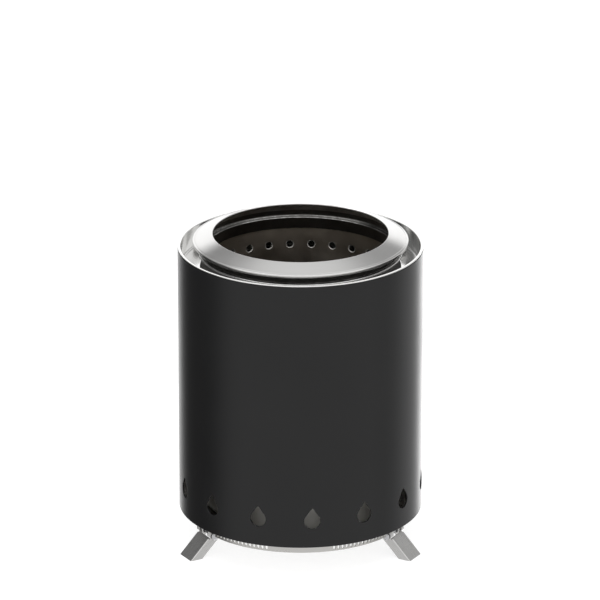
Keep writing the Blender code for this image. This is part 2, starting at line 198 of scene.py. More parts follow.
def evaluated(name, mesh, modifiers):
    """The mesh with these modifiers applied, each given as its kind and its settings."""
    guide = bpy.data.objects.new(name, mesh)
    bpy.context.scene.collection.objects.link(guide)
    for kind, settings in modifiers:
        modifier = guide.modifiers.new(kind.lower(), kind)
        for setting, value in settings.items():
            setattr(modifier, setting, value)
    graph = bpy.context.evaluated_depsgraph_get()
    changed = guide.evaluated_get(graph)
    done = bpy.data.meshes.new_from_object(changed, preserve_all_data_layers=True, depsgraph=graph)
    bpy.data.objects.remove(guide)
    bpy.data.meshes.remove(mesh)
    done.name = name
    return done


def face_outwards(bm, inside):
    """Turns the faces of an open surface away from a point."""
    outwards = 0.0
    for face in bm.faces:
        outwards += (face.calc_center_median() - inside).dot(face.normal) * face.calc_area()
    if outwards < 0:
        bmesh.ops.reverse_faces(bm, faces=bm.faces)


def fit(name, bm, materials, body, stands_for, place=None, sheet=0.0, ease=0.0, inside=(0, 0, 0)):
    """Makes the piece, shades it and fixes it to its body. An open surface becomes a sheet of
    this thickness, on the side of the inside point, with its edges eased."""
    bmesh.ops.delete(bm, geom=[v for v in bm.verts if not v.link_faces], context="VERTS")
    bmesh.ops.recalc_face_normals(bm, faces=bm.faces)
    if sheet:
        face_outwards(bm, Vector(inside))
    mesh = bpy.data.meshes.new(name)
    bm.to_mesh(mesh)
    bm.free()
    for material in (materials[0], materials[0], materials[-1]):
        mesh.materials.append(material)
    modifiers = []
    if sheet:
        thick = dict(thickness=sheet, offset=-1, use_even_offset=True)
        thick.update(material_offset=2, material_offset_rim=0)
        modifiers.append(("SOLIDIFY", thick))
    if ease:
        bevel = dict(width=ease, segments=3, limit_method="ANGLE", angle_limit=eased_angle)
        bevel.update(material=1, use_clamp_overlap=False)
        modifiers.append(("BEVEL", bevel))
    mesh = evaluated(name, mesh, modifiers)
    marks = mesh.attributes["edge"].data
    for face in mesh.polygons:
        if face.material_index == 1:
            marks[face.index].value = 1.0
            face.material_index = 0
    mesh.shade_smooth()
    mesh.set_sharp_from_angle(angle=sharp_angle)
    mesh = evaluated(name, mesh, [("WEIGHTED_NORMAL", dict(keep_sharp=True, weight=100))])
    piece = bpy.data.objects.new(name, mesh)
    bpy.context.scene.collection.objects.link(piece)
    piece.matrix_world = Matrix.Translation(axis_place) if place is None else place
    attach(piece, body)
    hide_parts(stands_for)
    return piece


def node(tree, kind, links=(), **settings):
    """A shader node with its settings; links are (input, socket or value) pairs."""
    made = tree.nodes.new("ShaderNode" + kind)
    for name, value in settings.items():
        setattr(made, name, value)
    for name, value in links:
        if isinstance(value, bpy.types.NodeSocket):
            tree.links.new(value, made.inputs[name])
        else:
            made.inputs[name].default_value = value
    return made


def maths(tree, operation, a, b=0.0):
    """The result of one operation on one or two values."""
    return node(tree, "Math", [(0, a), (1, b)], operation=operation).outputs[0]


def spread(tree, value, low, high, to_low=0.0, to_high=1.0, kind="LINEAR"):
    """Takes a value from one range to another, and holds it inside."""
    pairs = [(0, value), (1, low), (2, high), (3, to_low), (4, to_high)]
    return node(tree, "MapRange", pairs, interpolation_type=kind).outputs[0]


def noise(tree, vector, scale, detail=2.0, roughness=0.5):
    """Soft random cloudiness of a scale."""
    pairs = [("Vector", vector), ("Scale", scale), ("Detail", detail), ("Roughness", roughness)]
    return node(tree, "TexNoise", pairs).outputs[0]


def mixed(tree, share, a, b):
    """One colour going over to another."""
    made = node(tree, "Mix", data_type="RGBA")
    for index, value in ((0, share), (6, a), (7, b)):
        if isinstance(value, bpy.types.NodeSocket):
            tree.links.new(value, made.inputs[index])
        else:
            made.inputs[index].default_value = value if index == 0 else (*value, 1)
    return made.outputs[2]


def shader(name, metallic):
    """A material with one Principled shader: its tree, the shader and object coordinates."""
    material = bpy.data.materials.new(name)
    material.use_nodes = True
    tree = material.node_tree
    principled = tree.nodes["Principled BSDF"]
    principled.inputs["Metallic"].default_value = metallic
    coords = node(tree, "TexCoord").outputs["Object"]
    return material, tree, principled, coords


def edge_wear(tree, coords, scale, low, high):
    """The marked edges of a piece, broken up so that the wear comes and goes."""
    edge = node(tree, "Attribute", attribute_name="edge").outputs["Fac"]
    return maths(tree, "MULTIPLY", edge, spread(tree, noise(tree, coords, scale, 3), low, high))


def black_coat():
    """A satin coat: faintly cloudy, with a fine orange peel, and worn through on the edges."""
    light, dark, worn = (0.0070, 0.0070, 0.0072), (0.0046, 0.0046, 0.0049), (0.040, 0.038, 0.036)
    material, tree, principled, coords = shader("satin_black_coating", 0.0)
    principled.inputs["Specular IOR Level"].default_value = 0.32
    cloudy = noise(tree, coords, 22, 3)
    peel = noise(tree, coords, 1500, 2)
    grain = noise(tree, coords, 5200, 1)
    wear = edge_wear(tree, coords, 260, 0.50, 0.72)
    plain = mixed(tree, cloudy, dark, light)
    tree.links.new(mixed(tree, wear, plain, worn), principled.inputs["Base Color"])
    broad = spread(tree, cloudy, 0.3, 0.7, 0.31, 0.36)
    rough = maths(tree, "ADD", broad, maths(tree, "MULTIPLY", grain, 0.04))
    tree.links.new(rough, principled.inputs["Roughness"])
    height = maths(tree, "ADD", maths(tree, "MULTIPLY", peel, 0.7), maths(tree, "MULTIPLY", grain, 0.3))
    bump = node(tree, "Bump", [("Strength", 0.10), ("Distance", 0.00006), ("Height", height)])
    tree.links.new(bump.outputs[0], principled.inputs["Normal"])
    return material


def steel(name, light, dark, smooth, rough, grain, depth, spun=True, tint_and_shade=None, metallic=1.0):
    """Sheet metal between two colours and two roughnesses, with fine lines of a grain and
    depth: rings where it was spun, or straight brushing. A height function, where given, changes
    the colour by height: on some steels a real heat tint, on others a painted shade."""
    material, tree, principled, coords = shader(name, metallic)
    x, y, z = node(tree, "SeparateXYZ", [(0, coords)]).outputs
    squares = maths(tree, "ADD", maths(tree, "MULTIPLY", x, x), maths(tree, "MULTIPLY", y, y))
    across = maths(tree, "SQRT", squares)
    drift = maths(tree, "MULTIPLY", maths(tree, "ADD", x, y), 0.03)
    if spun:
        lined = node(tree, "CombineXYZ", [(0, across), (1, drift), (2, z)]).outputs[0]
    else:
        slope = maths(tree, "ADD", x, z)
        run = maths(tree, "MULTIPLY", maths(tree, "SUBTRACT", x, z), 0.03)
        lined = node(tree, "CombineXYZ", [(0, y), (1, run), (2, slope)]).outputs[0]
    lines = noise(tree, lined, grain, 3, 0.6)
    bands = noise(tree, lined, grain / 9, 2)
    smears = noise(tree, coords, 55, 4, 0.6)
    wear = maths(tree, "MULTIPLY", edge_wear(tree, coords, 320, 0.35, 0.65), 0.6)
    blotch = maths(tree, "ADD", maths(tree, "MULTIPLY", smears, 0.5), maths(tree, "MULTIPLY", bands, 0.5))
    body = mixed(tree, blotch, dark, light)
    if tint_and_shade is not None:
        body = tint_and_shade(tree, coords, z, body)
    bright = tuple(min(0.95, c * 1.12) for c in light)
    tree.links.new(mixed(tree, wear, body, bright), principled.inputs["Base Color"])
    mark = maths(tree, "ADD", maths(tree, "MULTIPLY", smears, 0.6), maths(tree, "MULTIPLY", lines, 0.4))
    tree.links.new(spread(tree, mark, 0.35, 0.65, smooth, rough), principled.inputs["Roughness"])
    bump = node(tree, "Bump", [("Strength", depth), ("Distance", 0.00003), ("Height", lines)])
    tree.links.new(bump.outputs[0], principled.inputs["Normal"])
    return material


coating = black_coat()
bare_inside = steel("bare_sheet", (0.62, 0.60, 0.57), (0.52, 0.50, 0.47), 0.30, 0.42, 900, 0.25)


def levels(low, high, count):
    """Values from low to high in equal steps, both ends included."""
    return [low + (high - low) * i / count for i in range(count + 1)]


bm = new_mesh()
beside = levels(drop_patch_low, drop_patch_high, drop_patch_lines)
above = levels(drop_patch_high, shell_high.z, lines_above_drops)[1:]
shell_lines = [shell_bottom, shell_bottom + drop_patch_start] + beside + above
drops = []
for i in range(drop_count):
    drops.append((i * columns_to_a_drop, drop_patch_half, 2, 2 + drop_patch_lines, drop_centre, drop_reach))
wall(bm, drum_radius, shell_lines, shell_columns, drop_turn, drops)
fit("drum_skin", bm, [coating, bare_inside], "stove_body", "outer_shell",
    sheet=shell_sheet, ease=0.00014, inside=inside_drum)

# ---------------------------------------------------------------------------------------
# The rim channel is a spun ring of thin polished stainless sheet. Its edge is turned out
# over the shell's top edge; from there it drops to a groove and a short collar round the
# pot. It is spot-welded to the shell and to the pot.

rim_low, rim_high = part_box("rim_channel")
rim_edge = (rim_high.x - rim_low.x) / 2
rim_top = rim_high.z
rim_sheet = 0.0005
groove_wall = 0.0634
groove_floor = 0.1530
groove_collar = 0.0527
rim_edge_round = 0.00024
groove_round = 0.0011
collar_round = 0.0007
cut_round = 0.00012


def turned(outline, closed=True, columns=256, steps=5):
    """A mesh turned from an outline of (radius, height, corner radius) points."""
    bm = new_mesh()
    path = rounded(outline, steps, closed)
    first = ring(bm, *path[0][:2], columns)
    last = first
    for radius, height, edge in path[1:]:
        row = ring(bm, radius, height, columns)
        skin(bm, last, row, edge)
        last = row
    if closed:
        skin(bm, last, first, path[0][2])
    return bm


polished = steel("polished_stainless", (0.88, 0.88, 0.87), (0.81, 0.805, 0.795), 0.07, 0.15, 2600, 0.10)
bm = turned([
    (rim_edge, rim_top, rim_edge_round),
    (rim_edge, rim_top - rim_sheet, rim_edge_round),
    (groove_wall + rim_sheet, rim_top - rim_sheet, 0.0002),
    (groove_wall + rim_sheet, groove_floor - rim_sheet, groove_round + rim_sheet),
    (groove_collar + rim_sheet, groove_floor - rim_sheet, 0.0002),
    (groove_collar + rim_sheet, rim_low.z, cut_round),
    (groove_collar, rim_low.z, cut_round),
    (groove_collar, groove_floor, collar_round),
    (groove_wall, groove_floor, groove_round),
    (groove_wall, rim_top, 0.0004),
])
fit("rim_and_groove", bm, [polished], "stove_body", "rim_channel")

# ---------------------------------------------------------------------------------------
# The burn chamber is the inner pot, deep-drawn from plain stainless sheet, with a polished
# flange on top that carries the flame ring. Air comes in by the lower row of holes and,
# heated between the walls, by the fine upper row. The heat has tinted it inside; its outside
# is darkened with a painted shade where it stands in the groove under the flame ring's hem.

pot_low, pot_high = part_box("burn_chamber")
pot_flange = (pot_high.x - pot_low.x) / 2
pot_radius = 0.0524
pot_sheet = 0.0008
pot_bottom_round = 0.0036
pot_wall_start = pot_low.z + 0.0045
pot_wall_end = pot_high.z - 0.0026
pot_columns = 336
upper_holes, upper_hole_height, upper_hole_radius = 28, 0.1465, 0.0020
lower_holes, lower_hole_height, lower_hole_radius = 16, 0.0400, 0.0026
upper_patch, upper_patch_half = 0.0036, 4
lower_patch, lower_patch_half = 0.0052, 5
hole_patch_lines = 8
lines_between_holes = 12
flange_bead = pot_flange + 0.0003
bead_round = 0.0005
bead_rise = 0.0002
bead_drop = 0.0009


def heat_tint(tree, coords, height, body):
    """Straw and violet-brown bands under the rim, and soot towards the bottom."""
    straw, violet_brown, soot = (0.46, 0.38, 0.27), (0.26, 0.20, 0.19), (0.060, 0.055, 0.052)
    wander = maths(tree, "MULTIPLY", maths(tree, "SUBTRACT", noise(tree, coords, 30, 4), 0.5), 0.04)
    level = maths(tree, "ADD", height, wander)
    body = mixed(tree, spread(tree, level, 0.120, 0.172, 0.0, 0.55), body, straw)
    body = mixed(tree, spread(tree, level, 0.085, 0.140, 0.55, 0.0), body, violet_brown)
    return mixed(tree, spread(tree, level, 0.040, 0.110, 0.75, 0.0), body, soot)


def painted_groove_shade(tree, coords, height, body):
    """The pot's outside, darkened towards its top with a painted shade where it stands in the groove under
    the hem.
    """
    groove_shade_colour = (0.085, 0.083, 0.080)
    return mixed(tree, spread(tree, height, 0.1440, 0.1520), body, groove_shade_colour)


def round_reach(radius):
    """The reach of a round hole's edge, which is the same in every direction."""
    return lambda turn: radius


def row_of_holes(count, height, radius, half, first_line):
    """Evenly spaced round holes in the pot's wall, with half a patch's columns to each side."""
    spacing = pot_columns // count
    last_line = first_line + hole_patch_lines
    middles = [spacing // 2 + i * spacing for i in range(count)]
    return [(middle, half, first_line, last_line, height, round_reach(radius)) for middle in middles]


fired = steel("fired_stainless", (0.52, 0.49, 0.45), (0.36, 0.33, 0.30), 0.30, 0.46, 800, 0.30,
              tint_and_shade=heat_tint)
# The pot's outside gets a painted shade at its top, where it stands in the groove under the hem.
pot_outside = steel("pot_outside", (0.74, 0.73, 0.69), (0.62, 0.61, 0.57), 0.50, 0.64, 800, 0.30,
                    tint_and_shade=painted_groove_shade, metallic=0.20)

bm = new_mesh()
lower_band = levels(lower_hole_height - lower_patch, lower_hole_height + lower_patch, hole_patch_lines)
upper_band = levels(upper_hole_height - upper_patch, upper_hole_height + upper_patch, hole_patch_lines)
between = levels(lower_band[-1], upper_band[0], lines_between_holes)[1:-1]
pot_lines = [pot_wall_start] + lower_band + between + upper_band + [pot_wall_end]
upper_line = 1 + len(lower_band) + len(between)
pot_holes = row_of_holes(lower_holes, lower_hole_height, lower_hole_radius, lower_patch_half, 1)
pot_holes += row_of_holes(upper_holes, upper_hole_height, upper_hole_radius, upper_patch_half, upper_line)
pot_bottom, pot_top = wall(bm, pot_radius, pot_lines, pot_columns, 0.0, pot_holes)
follow(bm, pot_top, [(pot_radius, pot_high.z - pot_sheet, 0.0)])
under = rounded([
    (pot_radius, pot_wall_start, 0),
    (pot_radius, pot_low.z, pot_bottom_round),
    (0, pot_low.z, 0),
], closed=False)
follow(bm, pot_bottom, [(r, z, 0.0) for r, z, edge in under[1:]])
fit("fire_pot", bm, [pot_outside, fired], "stove_body", "burn_chamber",
    sheet=pot_sheet, ease=0.00018, inside=inside_drum)
bm = turned([
    (pot_radius - pot_sheet, pot_high.z, 0.0003),
    (flange_bead, pot_high.z + bead_rise, bead_round),
    (flange_bead, pot_high.z - bead_drop, bead_round),
    (pot_radius - pot_sheet, pot_high.z - pot_sheet, 0.0003),
])
fit("pot_flange", bm, [polished], "stove_body", "burn_chamber")

# ---------------------------------------------------------------------------------------
# The grate support is a stepped ring pressed from plain stainless sheet. Its skirt is
# spot-welded to the pot's wall, and the grate lies in its recess.

ledge_low, ledge_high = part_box("grate_support")
ledge_edge = (ledge_high.x - ledge_low.x) / 2
ledge_opening = 0.0420
ledge_recess = 0.0462
ledge_step = 0.0016
ledge_sheet = 0.0008
ledge_floor = ledge_high.z - ledge_step
bm = turned([
    (ledge_edge, ledge_high.z, 0.0009),
    (ledge_edge, ledge_low.z, 0.0003),
    (ledge_edge - ledge_sheet, ledge_low.z, 0.0003),
    (ledge_edge - ledge_sheet, ledge_high.z - ledge_sheet, 0.0003),
    (ledge_recess + ledge_sheet, ledge_high.z - ledge_sheet, 0.0003),
    (ledge_recess + ledge_sheet, ledge_floor - ledge_sheet, 0.0006),
    (ledge_opening, ledge_floor - ledge_sheet, 0.0003),
    (ledge_opening, ledge_floor, 0.0003),
    (ledge_recess, ledge_floor, 0.0003),
    (ledge_recess, ledge_high.z, 0.0006),
])
fit("grate_ledge", bm, [fired], "stove_body", "grate_support")

# ---------------------------------------------------------------------------------------
# The ash tray is a shallow spun dish with a lip to lift it by and a pressed ring that
# stiffens its floor. It stands loose in the bottom of the pot, under the grate.

tray_low, tray_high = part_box("ash_tray")
tray_lip_edge = (tray_high.x - tray_low.x) / 2
tray_sheet = 0.0008
tray_lip = 0.0008
tray_wall = tray_lip_edge - tray_lip
tray_floor = tray_low.z + tray_sheet
tray_bead = tray_wall - 0.0086
tray_bead_half = 0.0014
tray_bead_rise = 0.0005
tray_bead_round = 0.0012
tray_lip_round = 0.00035
bm = turned([
    (0, tray_floor, 0),
    (tray_bead - tray_bead_half, tray_floor, tray_bead_round),
    (tray_bead, tray_floor + tray_bead_rise, tray_bead_round),
    (tray_bead + tray_bead_half, tray_floor, tray_bead_round),
    (tray_wall - tray_sheet, tray_floor, 0.0018),
    (tray_wall - tray_sheet, tray_high.z, 0.0006),
    (tray_lip_edge, tray_high.z, tray_lip_round),
    (tray_lip_edge, tray_high.z - tray_sheet, tray_lip_round),
    (tray_wall, tray_high.z - tray_sheet, 0.0003),
    (tray_wall, tray_low.z, 0.0024),
    (0, tray_low.z, 0),
], closed=False)
fit("ash_dish", bm, [fired], "ash_tray", "ash_tray")

# ---------------------------------------------------------------------------------------
# The fire grate is a punched disc of 1.2 mm stainless, discoloured by the fire. It lies
# loose in the support's recess, and its middle hole is for the finger that lifts it out.

grate_low, grate_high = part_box("fire_grate")
grate_radius = (grate_high.x - grate_low.x) / 2
grate_sheet = grate_high.z - grate_low.z
lift_hole = 0.0065
grate_hole = 0.0032
grate_rings = ((6, 0.0135), (12, 0.0255), (18, 0.0375))


def circle(radius, points, centre=(0, 0)):
    """Points evenly spaced round a circle."""
    turns = [2 * math.pi * i / points for i in range(points)]
    return [(centre[0] + radius * math.cos(a), centre[1] + radius * math.sin(a)) for a in turns]


def plate(bm, loops):
    """A flat face with holes, from loops of vertices: its outline, then each hole's edge."""
    corners = [vert for loop in loops for vert in loop]
    for a, b, c in tessellate_polygon([[vert.co for vert in loop] for loop in loops]):
        if len({a, b, c}) == 3:
            bm.faces.new([corners[a], corners[b], corners[c]])


bm = new_mesh()
outlines = [circle(grate_radius, 144), circle(lift_hole, 48)]
for count, radius in grate_rings:
    outlines += [circle(grate_hole, 28, spot) for spot in circle(radius, count)]
plate(bm, [[bm.verts.new((x, y, grate_high.z)) for x, y in outline] for outline in outlines])
fit("punched_grate", bm, [fired], "fire_grate", "fire_grate",
    sheet=grate_sheet, ease=0.00025)

# ---------------------------------------------------------------------------------------
# The flame ring is a cone spun from stainless sheet, with its outer edge turned down. A
# collar under it stands loose on the pot's flange, and a skirt keeps it central inside.

ring_low, ring_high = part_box("flame_ring")
hem_radius = (ring_high.x - ring_low.x) / 2
hem_top = 0.1674
hem_bottom = hem_top - 0.0016
collar_radius = 0.0531
collar_bottom = 0.1615
mouth_radius = 0.0464
mouth_top = ring_high.z
ring_sheet = 0.0008
skirt_radius = 0.0510
slope = (mouth_top - hem_top) / (hem_radius - mouth_radius)
cone_depth = ring_sheet * math.hypot(1, slope)
mouth_round = 0.00035
skirt_round = 0.00018
crease_radius = hem_radius - 0.0012
crease_inner = crease_radius - 0.00012
crease_outer = crease_radius + 0.00018
crease_depth = 0.00022
crease_round = 0.00005


def cone_height(radius):
    """The height of the cone's upper face at a radius."""
    return hem_top + slope * (hem_radius - radius)


def painted_neck_shade(tree, coords, height, body):
    """The collar and the skirt under the hem, darkened with a painted shade of the hem."""
    neck_shade_colour = (0.27, 0.265, 0.255)
    return mixed(tree, spread(tree, height, hem_bottom - 0.0004, hem_bottom, 1.0, 0.0), body, neck_shade_colour)


crease_top = cone_height(crease_radius)
bm = turned([
    (mouth_radius, mouth_top, mouth_round),
    (crease_inner, crease_top - 0.00003, crease_round),
    (crease_radius, crease_top - crease_depth, crease_round),
    (crease_outer, crease_top - 0.00001, 2 * crease_round),
    (hem_radius, hem_top, 0.0003),
    (hem_radius, hem_bottom, 0.00025),
    (hem_radius - ring_sheet, hem_bottom, 0.00018),
    (hem_radius - ring_sheet, cone_height(hem_radius - ring_sheet) - cone_depth, 0.0002),
    (collar_radius, cone_height(collar_radius) - cone_depth, 0.0004),
    (collar_radius, collar_bottom, 0.00035),
    (skirt_radius, collar_bottom, 0.0004),
    (skirt_radius, ring_low.z, skirt_round),
    (skirt_radius - ring_sheet, ring_low.z, skirt_round),
    (skirt_radius - ring_sheet, collar_bottom + ring_sheet, 0.0004),
    (collar_radius - ring_sheet, collar_bottom + ring_sheet, 0.0003),
    (collar_radius - ring_sheet, cone_height(collar_radius - ring_sheet) - cone_depth, 0.0003),
    (mouth_radius, mouth_top - cone_depth, mouth_round),
])
# The spun stainless gets a painted shade on the collar and the skirt, under the hem.
spun = steel("spun_stainless", (0.80, 0.795, 0.785), (0.70, 0.695, 0.685), 0.13, 0.22, 1900, 0.16,
             tint_and_shade=painted_neck_shade)
fit("flame_cone", bm, [spun], "flame_ring", "flame_ring")

# ---------------------------------------------------------------------------------------
# The base pan is a shallow pressed dish that closes the drum from below. Its turned-up
# edge is spot-welded inside the shell, and its raised middle stiffens it.

pan_low, pan_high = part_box("base_pan")
pan_edge = (pan_high.x - pan_low.x) / 2
pan_sheet = 0.0008
pan_under = pan_low.z
pan_floor = pan_under + pan_sheet
step_radius = 0.0370
step_run = 0.0012
step_rise = 0.0006
step_round = 0.0016
bm = turned([
    (0, pan_floor + step_rise, 0),
    (step_radius - step_run, pan_floor + step_rise, step_round),
    (step_radius, pan_floor, step_round),
    (pan_edge - pan_sheet, pan_floor, 0.0012),
    (pan_edge - pan_sheet, pan_high.z, 0.0003),
    (pan_edge, pan_high.z, 0.0003),
    (pan_edge, pan_under, 0.0019),
    (step_radius, pan_under, step_round),
    (step_radius - step_run, pan_under + step_rise, step_round),
    (0, pan_under + step_rise, 0),
], closed=False)
satin = steel("satin_stainless", (0.62, 0.61, 0.59), (0.50, 0.49, 0.47), 0.24, 0.34, 1400, 0.22)
fit("bottom_pan", bm, [satin], "stove_body", "base_pan")

# ---------------------------------------------------------------------------------------
# The base band is a bright stainless strip with upright slots that let air under the
# stove. It is folded inwards along its top, where it is welded to the pan, and notched
# for the legs.

band_low, band_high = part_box("base_band")
band_radius = 0.0580
band_sheet = 0.0008
band_inner = 0.0430
notch_start = 0.0484
slot_half_width = 0.0006
slot_half_height = 0.0020
slot_centre = 0.0150
band_columns = 600
columns_to_a_panel = band_columns // 3
first_slot = 30
slot_spacing = 4
slots_in_group = 14
notch_columns = 14
band_bend = 0.0009
slot_patch_start = 0.0004
slot_patch_lines = 6
slot_patch_half = 2


def slot_reach(turn):
    """How far a slot's edge is from its centre, in a direction."""
    across, up = abs(math.cos(turn)), abs(math.sin(turn))
    straight = slot_half_height - slot_half_width
    if up * slot_half_width <= straight * across:
        return slot_half_width / across
    return straight * up + math.sqrt(max(slot_half_width**2 - (straight * across)**2, 0))


bm = new_mesh()
wall_top = band_high.z - band_bend
slot_patch = levels(band_low.z + slot_patch_start, wall_top, slot_patch_lines)
slots = []
notched = set()
for panel in range(3):
    for i in range(slots_in_group):
        for side in (-1, 1):
            middle = panel * columns_to_a_panel + side * (first_slot + i * slot_spacing)
            slots.append((middle, slot_patch_half, 1, 1 + slot_patch_lines, slot_centre, slot_reach))
    leg_column = panel * columns_to_a_panel + columns_to_a_panel // 2
    notched.update(range(leg_column - notch_columns, leg_column + notch_columns))
panel_turn = math.radians(front)
top = wall(bm, band_radius, [band_low.z] + slot_patch, band_columns, panel_turn, slots, notched)[1]
fold = rounded([
    (band_radius, wall_top, 0),
    (band_radius, band_high.z, band_bend),
    (notch_start, band_high.z, 0),
], closed=False)
inner_row = follow(bm, top, [(r, z, 0.0) for r, z, edge in fold[1:]], panel_turn, notched)
follow(bm, inner_row, [(band_inner, band_high.z, 0.0)], panel_turn)
fit("slotted_band", bm, [satin], "stove_body", "base_band",
    sheet=band_sheet, ease=0.00012)

# ---------------------------------------------------------------------------------------
# Each leg hangs on a bracket folded from 1 mm stainless: a plate under the pan, held by
# two rivets, and two lugs bent down from it that carry the leg's pin.

leg_turns = {"front_left": 210, "front_right": 330, "rear": 90}
pin_reach = 0.0564
pin_height = 0.0117
pin_hole = 0.00133
bracket_top = 0.0066
bracket_sheet = 0.0010
bracket_inner, bracket_outer = -0.0075, 0.0046
bracket_half_width = 0.0048
lug_face = 0.0047
lug_round = 0.0022
lug_bend = 0.0013
lug_relief = 0.0006
bracket_corner = 0.0012
bend_steps = 6
rivet_places = {"inner": -0.0050, "outer": 0.0004}
rivet_hole = 0.00133
rivet_round = 0.0010
rivet_head = 0.0019
rivet_head_height = 0.0007
rivet_slack = 0.0003


def hinge_place(degrees):
    """A leg's frame: its origin on the pin, X outwards and Y along the pin."""
    turn = Matrix.Rotation(math.radians(degrees), 4, "Z")
    return Matrix.Translation(axis_place) @ turn @ Matrix.Translation((pin_reach, 0, pin_height))


def arc(radius, start, end, steps, centre=(0, 0)):
    """Points along an arc between two directions in degrees."""
    turns = [math.radians(degrees) for degrees in levels(start, end, steps)]
    return [(centre[0] + radius * math.cos(a), centre[1] + radius * math.sin(a)) for a in turns]


def bracket_mesh():
    """The bracket's outer faces: the plate with its rivet holes, and a bend and a lug with a
    pin hole at each side."""
    bm = new_mesh()
    bend_start = lug_face - lug_bend
    relief = lug_round + lug_relief
    columns = levels(-lug_round, lug_round, 6)
    edges = {}
    for side in (-1, 1):
        rows = []
        for degrees in levels(0, 90, bend_steps):
            a = math.radians(degrees)
            across = side * (bend_start + lug_bend * math.sin(a))
            up = bracket_top - lug_bend * (1 - math.cos(a))
            rows.append([bm.verts.new((x, across, up)) for x in columns])
        for a, b in zip(rows, rows[1:]):
            for i in range(len(columns) - 1):
                bm.faces.new([a[i], b[i], b[i + 1], a[i + 1]])
        edges[side] = rows[0]
        end = [bm.verts.new((x, side * lug_face, z)) for x, z in arc(lug_round, 0, -180, 16)]
        hole = [bm.verts.new((x, side * lug_face, z)) for x, z in circle(pin_hole, 24)]
        plate(bm, [rows[-1] + end, hole])
    half = bracket_half_width
    corner = bracket_corner
    inner_corners = arc(corner, 180, 90, 4, (bracket_inner + corner, half - corner))
    outer_corners = arc(corner, 90, 0, 4, (bracket_outer - corner, half - corner))
    left = inner_corners + [(-relief, half), (-relief, bend_start)]
    right = [(relief, bend_start), (relief, half)] + outer_corners
    loop = [bm.verts.new((x, y, bracket_top)) for x, y in left] + edges[1]
    loop += [bm.verts.new((x, y, bracket_top)) for x, y in right]
    loop += [bm.verts.new((x, -y, bracket_top)) for x, y in reversed(right)] + edges[-1][::-1]
    loop += [bm.verts.new((x, -y, bracket_top)) for x, y in reversed(left)]
    holes = [[bm.verts.new((x, y, bracket_top)) for x, y in circle(rivet_hole, 20, (place, 0))]
             for place in rivet_places.values()]
    plate(bm, [loop] + holes)
    return bm


def rivet_mesh():
    """A rivet along Z: a domed head below, and the formed head on the pan's upper side."""
    low = bracket_top - bracket_sheet - rivet_slack
    high = pan_floor + rivet_slack - pin_height
    dome = [(rivet_head * math.cos(a), rivet_head_height * math.sin(a))
            for a in [math.radians(15 * i) for i in range(1, 6)]]
    outline = [(0, high + rivet_head_height, 0)]
    outline += [(r, high + z, 0) for r, z in reversed(dome)]
    outline += [(rivet_head, high, 0), (rivet_round, high, 0)]
    outline += [(rivet_round, low, 0), (rivet_head, low, 0)]
    outline += [(r, low - z, 0) for r, z in dome]
    outline += [(0, low - rivet_head_height, 0)]
    return turned(outline, closed=False, columns=32)


brushed = steel("brushed_stainless", (0.59, 0.585, 0.575), (0.49, 0.485, 0.475), 0.24, 0.33, 1700, 0.22,
                spun=False)
zinc = steel("zinc_plating", (0.60, 0.60, 0.61), (0.46, 0.46, 0.48), 0.22, 0.38, 700, 0.20, spun=False)
for name, degrees in leg_turns.items():
    place = hinge_place(degrees)
    fit("hinge_bracket_" + name, bracket_mesh(), [brushed], "stove_body",
        "leg_bracket_" + name, place, sheet=bracket_sheet, ease=0.00015)
    for end, offset in rivet_places.items():
        moved = place @ Matrix.Translation((offset, 0, 0))
        fit(f"bracket_rivet_{name}_{end}", rivet_mesh(), [zinc], "stove_body",
            f"rivet_{name}_{end}", moved)

# ---------------------------------------------------------------------------------------
# Each leg is a channel folded from 1 mm stainless, cut level at the foot. Its two ears
# stop against the pan when it is out, and it folds in under the stove on a headed pin.

leg_half_width = 0.0061
leg_sheet = 0.0010
leg_bend = 0.0005
web_out = 0.0019
flange_in = 0.0031
web_start = 0.0024
bend_start_down = 0.0032
leg_lines = 8
ear_round = 0.0064
ear_reach = 0.0038
ear_corner = 0.0012
ear_arc_end = 92
ear_top_start = 0.0004
ear_outer_low = 0.0007
pin_round = 0.0010
pin_head = 0.0020
pin_head_length = 0.0008
pin_head_round = 0.00035
pin_slack = 0.0003
diagonal = math.sqrt(0.5)


def leg_point(down, out, across):
    """A point of the leg from its distance down the leg, out of its web, and across."""
    return Vector((diagonal * (down + out), across, diagonal * (out - down)))


